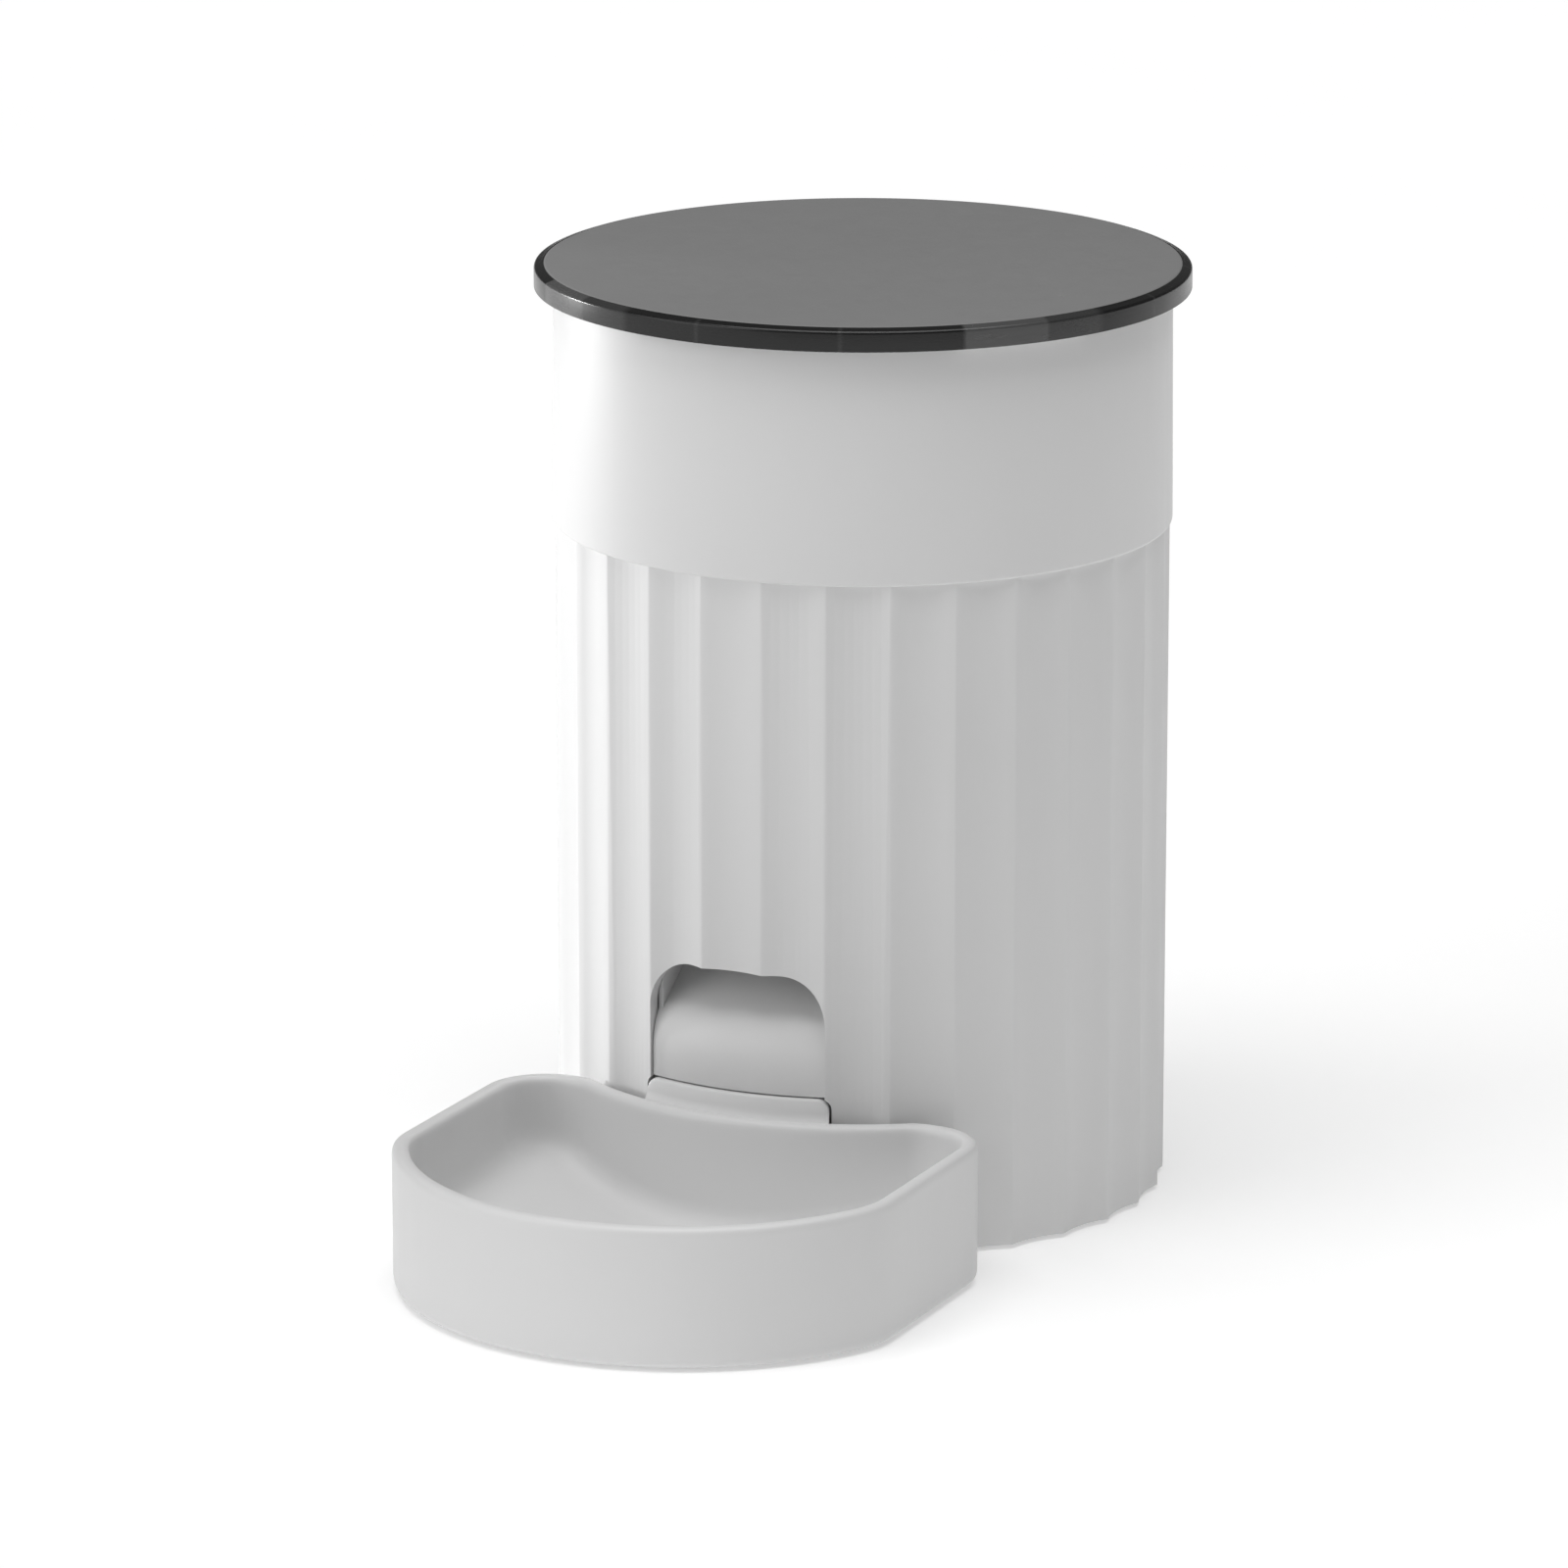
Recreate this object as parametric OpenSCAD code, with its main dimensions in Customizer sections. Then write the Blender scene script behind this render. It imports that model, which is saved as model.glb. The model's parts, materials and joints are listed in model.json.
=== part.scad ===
// Automatic pet feeder: a fluted round housing with a lift-out food tank, a lid,
// a metering rotor with its gear drive, a chute and a bowl that slides off.
// Origin: middle of the foot plane on the drum axis. Front is -Y, up is +Z.
// All sizes are in millimetres.

/* [Drum] */
// Outside radius of the tank band and of the flute ridges
drum_r = 95; // [85:1:110]
// Number of concave flutes round the housing
flute_count = 30; // [24:2:40]
// Depth of a flute below its chord
flute_depth = 1.7; // [1:0.1:2.5]
// Radius of the bore inside the housing
bore_r = 90; // [80:1:105]
// Height of the seam between the housing and the tank band
seam_z = 211.8; // [190:0.2:230]
// Height of the top of the tank band
band_top = 283.7; // [260:0.1:300]
// Height of the bottom edge of the housing
housing_z = 1.2; // [0.8:0.1:3]

/* [Lid] */
// Outside radius of the lid rim
lid_r = 101; // [97:0.5:108]
// Radius of the flat top disc
disc_r = 97.8; // [90:0.1:104]
// Height of the top of the lid
lid_top = 290.6; // [285:0.1:310]
// Length of the plug below the lid
plug_len = 10; // [6:1:16]
// Number of locating lugs on the tank, seen through the rim
lug_count = 4; // [2:1:6]
// Angle that each lug takes up
lug_angle = 27; // [15:1:40]

/* [Outlet] */
// Half width of the outlet opening
outlet_half = 29.4; // [22:0.2:34]
// Height of the top of the outlet opening
outlet_top = 88.5; // [80:0.5:100]
// Radius of the top corners of the outlet
outlet_corner = 15; // [8:0.5:20]
// Angle of the chute ramp above the horizontal
ramp_angle = 36; // [30:1:42]
// Radius of the rounded lip at the foot of the ramp
lip_r = 18; // [12:1:24]
// Height at which the lip turns into the upright panel
lip_z = 60; // [54:1:66]
// Radius of the face of the panel below the outlet
panel_r = 93.6; // [92:0.1:94.6]

/* [Bowl] */
// Half width of the bowl
bowl_half = 82; // [70:1:90]
// Radius of the front curve of the bowl
bowl_front_r = 88.5; // [80:0.5:95]
// Distance of the front curve's centre in front of the drum axis
bowl_centre = 126.5; // [115:0.5:135]
// Height of the rim of the bowl
bowl_h = 44; // [35:1:55]
// Thickness of the rim of the bowl
bowl_rim = 5.5; // [4:0.5:8]
// Height of the tab that plugs into the housing
tab_top = 50.5; // [46:0.5:54]
// Half width of that tab
tab_half = 30.7; // [24:0.1:32]

/* [Drive] */
// Gear module
gear_m = 1; // [0.8:0.1:1.2]
// Teeth on the drive gear
gear_teeth = 36; // [30:1:36]
// Teeth on the motor pinion
pinion_teeth = 15; // [15:1:18]
// Number of vanes on the metering rotor
vane_count = 6; // [4:1:8]
// Radius of the drive spindle
spindle_r = 3; // [2.5:0.1:4]
// Running clearance of a shaft in its bore
run_gap = 0.05; // [0.02:0.01:0.1]

/* [Rear controls] */
// Height of the feed button
button_z = 50; // [40:1:60]
// Radius of the feed button
button_r = 7; // [5:0.5:9]
// Height of the power inlet
inlet_z = 28; // [22:1:34]
// Height of the status light
light_z = 66; // [60:1:72]

/* [Hidden] */
$fn = 96;
gap = 0.3;
// flutes
flute_half = 180 / flute_count;
ridge_r = drum_r - 0.1;
flute_chord = drum_r * sin(flute_half);
flute_r = (flute_chord * flute_chord + flute_depth * flute_depth) / (2 * flute_depth);
flute_c = drum_r * cos(flute_half) - flute_depth + flute_r;
housing_top = seam_z - 0.1;
// posts that carry the deck and the base plate
post_at = bore_r - 4.5;
post_r = 5.5;
post_pilot = 1.4;
// deck and base plate
deck_z = 117;
deck_t = 3;
plate_r = bore_r - 0.4;
base_z = 1.6;
base_top = 4.2;
// port that the food drops through
port_half = 26;
port_back = 29;
port_front = 54;
// food tank
mouth_r = drum_r - 2.8;
barrel_r = bore_r - 2;
barrel_t = 2;
barrel_z = 186;
chamber_r = 57;
chamber_t = 2;
chamber_z = 121;
chamber_top = 150.3;
collar_r = 10;
// rotor
vane_r = chamber_r - chamber_t - 2;
vane_top = 147;
hub_r = 8;
socket = 7.6;
// gears
pressure = 20;
gear_z = 104.5;
gear_w = 8;
gear_pitch_r = gear_m * gear_teeth / 2;
pinion_pitch_r = gear_m * pinion_teeth / 2;
pinion_y = gear_pitch_r + pinion_pitch_r;
case_z = 100;
case_top = deck_z - 0.1;
case_t = 1.8;
motor_r = 12;
motor_z = 64;
motor_top = 99.9;
shaft_r = 1.5;
// chute
chute_half = outlet_half - gap;
chute_t = 1.8;
ramp_t = 2.2;
lug_r = lid_r - 3.4;
lug_top = lid_top - 4.9;
lug_turn = -34.5;
lip_c = panel_r - lip_r;
lip_steps = 12;
panel_back = bore_r - 2;
panel_z = tab_top + 0.5;
ramp_end_z = deck_z - 0.2;
sensor_y = -70;
sensor_z = 92;
// battery compartment
cell_r = 16.6;
cell_len = 61;
cell_pitch = 34.6;
cell_y = -11;
cell_z = 21.9;
box_half = 54;
box_y0 = -44;
box_y1 = 22;
box_top = 41.6;
door_half = 51;
door_y0 = -41;
door_axis_y = 17.2;
door_axis_z = 2.8;
door_edge_r = 1;
// circuit board
board_y = 76;
board_t = 1.6;
board_half = 30;
board_z0 = 20;
board_z1 = 76;
stand_x = 24;
stand_z = [26, 70];
// feet
foot_r = 7;
foot_x = 45;
foot_y = 68;
// bowl
nest_r = drum_r + 0.6;
bowl_corner = 20;
bowl_back = 78;
blend_r = 30;
blend_x = bowl_half - blend_r;
blend_fall = sqrt(pow(bowl_front_r - blend_r, 2) - blend_x * blend_x);
blend_y = -bowl_centre - blend_fall;
dish_r = 260;
dish_z = 6;
dish_y = -bowl_centre - 16;
bowl_z = 0.8;
bowl_wall = bowl_rim + 2.8;
bowl_base_t = 2;

white = [0.93, 0.93, 0.93];
smoke = [0.22, 0.22, 0.23, 0.7];
grey = [0.45, 0.45, 0.46];
dark = [0.12, 0.12, 0.13];
steel = [0.7, 0.7, 0.72];

// ---------- helpers ----------

// A cylinder between two heights
module rod(r, z0, z1) {
    translate([0, 0, z0])
        cylinder(r = r, h = z1 - z0);
}

// A cylinder along Y between two depths
module rod_y(r, y0, y1) {
    translate([0, y0, 0])
        rotate([-90, 0, 0])
            cylinder(r = r, h = y1 - y0);
}

// A box between two corners
module box(a, b) {
    translate(a)
        cube(b - a);
}

// A tube between two heights
module tube(r1, r0, z0, z1) {
    difference() {
        rod(r1, z0, z1);
        rod(r0, z0 - 1, z1 + 1);
    }
}

// The children at the four posts
module at_posts() {
    for (a = [45:90:315])
        rotate(a)
            translate([post_at, 0, 0])
                children();
}

// Extrudes a shape drawn in Y and Z along X, from -half to +half
module side_extrude(half) {
    translate([-half, 0, 0])
        rotate([90, 0, 90])
            linear_extrude(2 * half)
                children();
}

// ---------- housing ----------

module flute_outline() {
    difference() {
        circle(r = ridge_r, $fn = 360);
        for (i = [0:flute_count - 1])
            rotate(i * 2 * flute_half - 90)
                translate([flute_c, 0])
                    circle(r = flute_r, $fn = 240);
    }
}

// A panel with rounded top corners, standing in X and Z
module arched_block(half, z0, z1, corner, y0, y1) {
    box([-half, y0, z0], [half, y1, z1 - corner]);
    box([-half + corner, y0, z0], [half - corner, y1, z1]);
    for (s = [-1, 1])
        translate([s * (half - corner), 0, z1 - corner])
            rod_y(corner, y0, y1);
}

module fluted_housing() {
    color(white)
    difference() {
        union() {
            difference() {
                translate([0, 0, housing_z])
                    linear_extrude(housing_top - housing_z)
                        flute_outline();
                rod(bore_r, housing_z - 1, housing_top + 1, $fn = 360);
            }
            intersection() {
                at_posts()
                    rod(post_r, base_top + 0.1, deck_z - 0.1);
                rod(bore_r + 1, 0, deck_z);
            }
            for (x = [-stand_x, stand_x])
                for (z = stand_z)
                    translate([x, 0, z])
                        rod_y(3, board_y + board_t, bore_r - 1);
        }
        arched_block(outlet_half, 40, outlet_top, outlet_corner, -drum_r - 5, -70);
        arched_block(tab_half + 0.4, -1, tab_top + 0.7, 3.9, -drum_r - 5, -70);
        at_posts()
            rod(post_pilot, base_top - 1, base_top + 12);
        at_posts()
            rod(post_pilot, deck_z - 12, deck_z + 1);
        translate([0, 0, button_z])
            rod_y(button_r + gap, bore_r - 4, drum_r + 1);
        translate([0, 0, light_z])
            rod_y(1.55, bore_r - 4, drum_r + 1);
        slot_y(4.9, 2, bore_r - 4, drum_r + 1);
        for (x = [-stand_x, stand_x])
            for (z = stand_z)
                translate([x, 0, z])
                    rod_y(1.1, board_y, board_y + 9);
    }
}

// A round-ended slot along Y at the height of the power inlet
module slot_y(half, r, y0, y1) {
    translate([0, 0, inlet_z]) {
        box([-half + r, y0, -r], [half - r, y1, r]);
        for (s = [-1, 1])
            translate([s * (half - r), 0, 0])
                rod_y(r, y0, y1);
    }
}

module base_plate() {
    color(white)
    difference() {
        rod(plate_r, base_z, base_top);
        box([-door_half - 0.4, door_y0 - 0.4, 0], [door_half + 0.4, door_axis_y + door_edge_r + gap, 6]);
        at_posts()
            rod(post_pilot, 0, 6);
        at_posts()
            rod(3.3, 0, base_z + 1.6);
        for (x = [-foot_x, foot_x])
            for (y = [-foot_y, foot_y])
                translate([x, y, 0])
                    rod(foot_r, 0, base_z + 1.4);
    }
}

module rubber_feet() {
    color(dark)
    for (x = [-foot_x, foot_x])
        for (y = [-foot_y, foot_y])
            translate([x, y, 0])
                rod(foot_r - 0.1, 0, base_z + 1.4);
}

module drive_deck() {
    color(white)
    difference() {
        union() {
            rod(plate_r, deck_z, deck_z + deck_t);
            tube(chamber_r + 3, chamber_r + 1, deck_z + deck_t - 1, deck_z + deck_t + 3);
        }
        box([-port_half, -port_front, deck_z - 1], [port_half, -port_back, deck_z + 5]);
        rod(7, deck_z - 1, deck_z + 5);
        at_posts()
            rod(1.6, deck_z - 1, deck_z + 5);
        case_holes()
            rod(1.2, deck_z - 1, deck_z + 2.2);
    }
}

module spindle_bush() {
    color([0.75, 0.6, 0.35])
    difference() {
        union() {
            rod(6.95, deck_z - 1, deck_z + deck_t);
            rod(9, deck_z - 1.9, deck_z - 0.1);
        }
        rod(spindle_r + run_gap, deck_z - 3, deck_z + 5);
    }
}

// ---------- chute ----------

// Points up the lip and the ramp, sunk by t, as radius from the drum axis and height
function ramp_line(t, z_end) = concat(
    [for (i = [0:lip_steps])
        let (a = (90 - ramp_angle) * i / lip_steps)
            [lip_c + (lip_r - t) * cos(a), lip_z + (lip_r - t) * sin(a)]],
    [[lip_c + (lip_r - t) * sin(ramp_angle)
        - (z_end - lip_z - (lip_r - t) * cos(ramp_angle)) / tan(ramp_angle), z_end]]);

// The ramp and the panel, which follow the round of the drum
module ramp() {
    intersection() {
        rotate_extrude()
            polygon(concat(
                [[panel_back, panel_z], [panel_r, panel_z]],
                ramp_line(0, ramp_end_z),
                [ramp_line(ramp_t, ramp_end_z)[lip_steps + 1], ramp_line(ramp_t, ramp_end_z)[lip_steps]],
                [[panel_back, lip_z + 5]]));
        box([-chute_half, -drum_r, 0], [chute_half, 0, deck_z]);
    }
}

// The space below the roof of the duct, seen from the side
module below_roof(rise, z0, z1) {
    polygon([[-drum_r - 5, z0], [-20, z0], [-20, z1], [-port_front - 1 - rise, z1],
        [-port_front - 1 - rise, ramp_end_z - 1 + rise], [-bore_r + 0.5 - rise, outlet_top + 1.5 + rise],
        [-drum_r - 5, outlet_top + 1.5 + rise]]);
}

// The side walls and the roof of the duct
module duct() {
    difference() {
        intersection() {
            side_extrude(chute_half)
                below_roof(1.6, lip_z, ramp_end_z);
            rod(bore_r - gap, lip_z, ramp_end_z);
            rotate_extrude()
                polygon(concat([[drum_r, lip_z]], ramp_line(1, deck_z), [[drum_r, deck_z]]));
        }
        side_extrude(chute_half - chute_t)
            below_roof(0, 0, deck_z + 1);
    }
}

module chute() {
    color(white)
    difference() {
        union() {
            ramp();
            duct();
            intersection() {
                tube(bore_r - gap, bore_r - 3.3, base_top + gap, lip_z - 1);
                box([-34, -drum_r, 0], [34, -60, lip_z]);
            }
        }
        sensor_bores();
    }
}

module sensor_bores() {
    for (s = [-1, 1])
        translate([s * chute_half, sensor_y, sensor_z])
            rotate([0, 90, 0])
                translate([0, 0, -3])
                    cylinder(r = 1.6, h = 6);
}

module outlet_sensors() {
    color(dark)
    for (s = [-1, 1]) {
        box([s > 0 ? chute_half + 0.1 : -chute_half - 4.1, sensor_y - 4, sensor_z - 5],
            [s > 0 ? chute_half + 4.1 : -chute_half - 0.1, sensor_y + 4, sensor_z + 5]);
        translate([s > 0 ? chute_half - chute_t + 0.2 : -chute_half - 1, sensor_y, sensor_z])
            rotate([0, 90, 0])
                cylinder(r = 1.55, h = chute_t + 0.8);
    }
}

// ---------- drive ----------

function involute(a) = tan(a) * 180 / PI - a;

function flank(r, rb, rp) =
    0.42 * 180 * gear_m / (2 * rp) + involute(pressure) - involute(acos(rb / r));

module gear_tooth(n) {
    rp = gear_m * n / 2;
    rb = rp * cos(pressure);
    root = rp - 1.25 * gear_m;
    start = max(rb, root) + 0.001;
    tip = rp + 0.9 * gear_m;
    radii = [for (k = [0:4]) start + (tip - start) * k / 4];
    low = flank(start, rb, rp);
    polygon(concat(
        [[(root - 0.3) * cos(low), -(root - 0.3) * sin(low)]],
        [for (r = radii) [r * cos(flank(r, rb, rp)), -r * sin(flank(r, rb, rp))]],
        [for (k = [4:-1:0]) let (r = radii[k])
            [r * cos(flank(r, rb, rp)), r * sin(flank(r, rb, rp))]],
        [[(root - 0.3) * cos(low), (root - 0.3) * sin(low)]]));
}

module gear_blank(n, bore) {
    translate([0, 0, gear_z])
        linear_extrude(gear_w)
            difference() {
                union() {
                    circle(r = gear_m * n / 2 - 1.25 * gear_m);
                    for (i = [0:n - 1])
                        rotate(i * 360 / n)
                            gear_tooth(n);
                }
                circle(r = bore);
            }
}

module drive_gear() {
    color([0.9, 0.9, 0.85])
    rotate(90)
        gear_blank(gear_teeth, spindle_r);
}

module motor_pinion() {
    color([0.9, 0.9, 0.85])
    translate([0, pinion_y, 0])
        rotate(-90 + 180 / pinion_teeth)
            gear_blank(pinion_teeth, shaft_r);
}

module motor_shaft() {
    color(steel)
    translate([0, pinion_y, 0])
        rod(shaft_r, 96, gear_z + gear_w + 1);
}

module drive_spindle() {
    color(steel)
    rod(spindle_r, case_z + 0.4, 130);
}

module drive_coupling() {
    color([0.9, 0.9, 0.85])
    difference() {
        box([-3.5, -3.5, deck_z + deck_t + 0.4], [3.5, 3.5, 134]);
        rod(spindle_r, deck_z, 130);
    }
}

// The children at the three screws of the gear case
module case_holes() {
    for (s = [-1, 1])
        translate([s * 22.8, 8.2, 0])
            children();
    translate([0, pinion_y + 13.1, 0])
        children();
}

module gear_case() {
    color([0.82, 0.82, 0.82])
    difference() {
        union() {
            rod(gear_pitch_r + 3.4, case_z, case_top);
            translate([0, pinion_y, 0])
                rod(pinion_pitch_r + 2.7, case_z, case_top);
            case_holes()
                rod(3.6, case_top - 5, case_top);
        }
        rod(gear_pitch_r + 3.4 - case_t, case_z + 2, case_top + 1);
        translate([0, pinion_y, 0])
            rod(pinion_pitch_r + 2.7 - case_t, case_z + 2, case_top + 1);
        rod(spindle_r + run_gap, case_z - 1, case_z + 3);
        translate([0, pinion_y, 0])
            rod(4.1, case_z - 1, case_z + 3);
        motor_screw_spots()
            rod(1.2, case_z - 1, case_z + 3);
        case_holes()
            rod(1.4, case_top - 6, case_top + 1);
    }
}

module motor_screw_spots() {
    for (s = [-1, 1])
        translate([s * 5.6, pinion_y, 0])
            children();
}

module motor() {
    color(steel)
    difference() {
        translate([0, pinion_y, 0]) {
            rod(motor_r, motor_z, motor_top);
            rod(4, motor_top - 1, motor_top + 2);
        }
        translate([0, pinion_y, 0])
            rod(shaft_r + run_gap, 95.5, motor_top + 3);
        motor_screw_spots()
            rod(1.2, motor_top - 3, motor_top + 1);
    }
}

module motor_cap() {
    color(dark)
    translate([0, pinion_y, 0]) {
        rod(motor_r - 1, motor_z - 6, motor_z - 0.1);
        for (s = [-1, 1])
            box([s * 6 - 1.4, -0.4, motor_z - 11], [s * 6 + 1.4, 0.4, motor_z - 5]);
    }
}

// ---------- screws ----------

module deck_screws() {
    color(steel)
    at_posts() {
        rod(1.38, deck_z - 11, deck_z + deck_t + 0.5);
        rod(3.2, deck_z + deck_t, deck_z + deck_t + 2);
    }
}

module base_screws() {
    color(steel)
    at_posts() {
        rod(1.38, base_z + 1, base_top + 11);
        rod(3.2, base_z, base_z + 1.6);
    }
}

module case_screws() {
    color(steel)
    case_holes() {
        rod(1.18, case_top - 6, deck_z + 2);
        rod(2.6, case_top - 6.6, case_top - 5);
    }
}

module motor_screws() {
    color(steel)
    motor_screw_spots() {
        rod(1.18, motor_top - 2.6, case_z + 2.5);
        rod(2, case_z + 2, case_z + 3.6);
    }
}

module board_screws() {
    color(steel)
    for (x = [-stand_x, stand_x])
        for (z = stand_z)
            translate([x, 0, z]) {
                rod_y(1.08, board_y - 1, board_y + 8);
                rod_y(2.6, board_y - 1.6, board_y);
            }
}

// ---------- battery compartment ----------

module battery_box() {
    color([0.82, 0.82, 0.82])
    difference() {
        box([-box_half, box_y0, base_top + 0.1], [box_half, box_y1, box_top]);
        box([-box_half + 1.6, box_y0 + 1.6, 0], [box_half - 1.6, box_y1 - 1.6, box_top - 1.6]);
    }
}

module batteries() {
    color([0.25, 0.3, 0.34])
    for (i = [-1:1])
        translate([i * cell_pitch, 0, cell_z])
            mirror([0, i == 0 ? 1 : 0, 0])
                translate([0, i == 0 ? -2 * cell_y : 0, 0]) {
                    rod_y(cell_r, cell_y - cell_len / 2, cell_y + cell_len / 2 - 1);
                    rod_y(5, cell_y, cell_y + cell_len / 2);
                }
}

module battery_contacts() {
    color(steel)
    for (i = [-1:1])
        for (y = [box_y0 + 1.7, box_y1 - 2.3])
            translate([i * cell_pitch, 0, cell_z])
                rod_y(6, y, y + 0.6);
}

module battery_door() {
    color(white)
    difference() {
        union() {
            box([-door_half, door_y0, door_axis_z - door_edge_r],
                [door_half, door_axis_y, door_axis_z + door_edge_r]);
            translate([-door_half, door_axis_y, door_axis_z])
                rotate([0, 90, 0])
                    cylinder(r = door_edge_r, h = 2 * door_half);
        }
        box([-10, door_y0 + 4, base_z - 1], [10, door_y0 + 9, base_z + 1]);
    }
}

// ---------- circuit board and controls ----------

module circuit_board() {
    color([0.1, 0.35, 0.2])
    difference() {
        box([-board_half, board_y, board_z0], [board_half, board_y + board_t, board_z1]);
        for (x = [-stand_x, stand_x])
            for (z = stand_z)
                translate([x, 0, z])
                    rod_y(1.1, board_y - 1, board_y + 3);
    }
}

module board_parts() {
    color(dark) {
        box([-3, board_y + board_t, button_z - 3], [3, board_y + 5, button_z + 3]);
        box([-12, board_y - 2, 36], [2, board_y, 50]);
        box([8, board_y - 7, 30], [18, board_y, 38]);
        translate([12, board_y - 6, 58])
            rod_y(4, 0, 6);
    }
}

module power_inlet() {
    color(steel)
    difference() {
        slot_y(4.5, 1.6, board_y + board_t, drum_r - 3);
        slot_y(4.1, 1.2, drum_r - 9, drum_r);
    }
}

module status_light() {
    color([0.8, 0.9, 1, 0.8])
    translate([0, 0, light_z])
        rod_y(1.5, board_y + board_t, drum_r - 2);
}

module feed_button() {
    color(white)
    translate([0, 0, button_z]) {
        rod_y(button_r, bore_r - 2.2, drum_r - 0.7);
        rod_y(button_r + 1.6, bore_r - 2.4, bore_r - 0.8);
        rod_y(2.5, board_y + 6.5, bore_r - 2);
    }
}

// ---------- food tank ----------

module tank_shell() {
    color(white)
    union() {
        rotate_extrude()
            polygon([
                [barrel_r - barrel_t, barrel_z],
                [barrel_r, barrel_z],
                [barrel_r, seam_z],
                [drum_r, seam_z],
                [drum_r, band_top],
                [mouth_r, band_top],
                [mouth_r, seam_z + 4.2],
                [barrel_r - barrel_t, seam_z - 2]]);
        at_lugs(lug_angle)
            tube(lug_r, mouth_r + 0.6, band_top - 1, lug_top);
    }
}

module hopper_funnel() {
    color([0.9, 0.9, 0.9])
    rotate_extrude()
        polygon([
            [chamber_r - chamber_t, chamber_top + 0.2],
            [chamber_r, chamber_top + 0.2],
            [chamber_r, chamber_top + 5],
            [barrel_r - barrel_t - 0.2, barrel_z],
            [barrel_r - barrel_t - 0.2, barrel_z + 10],
            [barrel_r - barrel_t - 2.2, barrel_z + 10],
            [barrel_r - barrel_t - 2.2, barrel_z + 1],
            [chamber_r - chamber_t, chamber_top + 6]]);
}

module rotor_chamber() {
    color([0.9, 0.9, 0.9])
    difference() {
        rod(chamber_r, chamber_z, chamber_top);
        rod(chamber_r - chamber_t, chamber_z + 2, chamber_top + 1);
        rod(collar_r + run_gap, chamber_z - 1, chamber_z + 3);
        intersection() {
            box([-port_half, -port_front, chamber_z - 1], [port_half, -port_back, chamber_z + 3]);
            rod(vane_r, chamber_z - 1, chamber_z + 3);
        }
    }
}

module port_shield() {
    color([0.85, 0.85, 0.85])
    intersection() {
        tube(chamber_r - chamber_t - 0.1, 12, chamber_top - 1.8, chamber_top);
        translate([0, 0, chamber_top - 3])
            linear_extrude(5)
                polygon([[0, 0], [-60, -90], [60, -90]]);
    }
}

module rotor() {
    color([0.55, 0.75, 0.8])
    difference() {
        union() {
            rod(collar_r, chamber_z - 0.2, chamber_z + 2.5);
            rod(collar_r + 3, chamber_z + 2.3, chamber_z + 4);
            rod(hub_r, chamber_z + 3, 150);
            for (i = [0:vane_count - 1])
                rotate(i * 360 / vane_count)
                    box([hub_r - 1, -1.1, chamber_z + 2.8], [vane_r, 1.1, vane_top]);
        }
        box([-socket / 2, -socket / 2, chamber_z - 1], [socket / 2, socket / 2, 136]);
    }
}

module stirrer() {
    color([0.4, 0.6, 0.65]) {
        rod(6.5, 150.1, 166);
        for (s = [0, 180])
            rotate(s + 30)
                box([5, -1.5, 158], [38, 1.5, 161.5]);
    }
}

// ---------- lid ----------

module lid_disc() {
    color(grey)
    rod(disc_r, lid_top - 2, lid_top);
}

module lid_rim() {
    color(smoke)
    rotate_extrude()
        polygon([
            [mouth_r - 2, lid_top - 4.4],
            [mouth_r - 2, lid_top - 2.2],
            [disc_r + 0.1, lid_top - 2.2],
            [disc_r + 0.1, lid_top - 0.3],
            [lid_r - 0.6, lid_top - 0.3],
            [lid_r, lid_top - 0.9],
            [lid_r, lid_top - 5.6],
            [lid_r - 1, band_top + gap],
            [lid_r - 2.4, band_top + gap],
            [lid_r - 2.4, lid_top - 4.4]]);
}

module lid_liner() {
    color([0.35, 0.35, 0.36])
    difference() {
        union() {
            rod(mouth_r - 2.3, lid_top - 4.4, lid_top - 2.2);
            tube(mouth_r - 2.3, mouth_r - 5, band_top - plug_len, lid_top - 3);
            tube(lid_r - 3.4, mouth_r - 3, band_top + gap, lid_top - 4.6);
        }
        at_lugs(lug_angle + 2)
            tube(lid_r, mouth_r - 2, band_top, lug_top + gap);
    }
}

// The part of the children inside the sector of each lug
module at_lugs(angle) {
    for (i = [0:lug_count - 1])
        rotate(i * 360 / lug_count + lug_turn)
            intersection() {
                children();
                linear_extrude(lid_top)
                    polygon([[0, 0], [1.2 * lid_r * cos(angle / 2), -1.2 * lid_r * sin(angle / 2)],
                        [1.2 * lid_r * cos(angle / 2), 1.2 * lid_r * sin(angle / 2)]]);
            }
}

module lid_seal() {
    color(dark)
    union() {
        tube(mouth_r - 1.2, mouth_r - 2.25, band_top - 8, band_top - 4);
        tube(mouth_r - gap, mouth_r - 2, band_top - 7, band_top - 5.8);
    }
}

module desiccant_box() {
    color([0.3, 0.3, 0.31])
    difference() {
        rod(32, 264, lid_top - 4.5);
        rod(30.4, 262, lid_top - 6);
    }
}

module desiccant_cover() {
    color([0.3, 0.3, 0.31])
    difference() {
        rod(31.8, 262, 263.9);
        for (i = [-3:3])
            box([i * 7 - 1, -18, 261], [i * 7 + 1, 18, 265]);
    }
}

// ---------- bowl ----------

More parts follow.
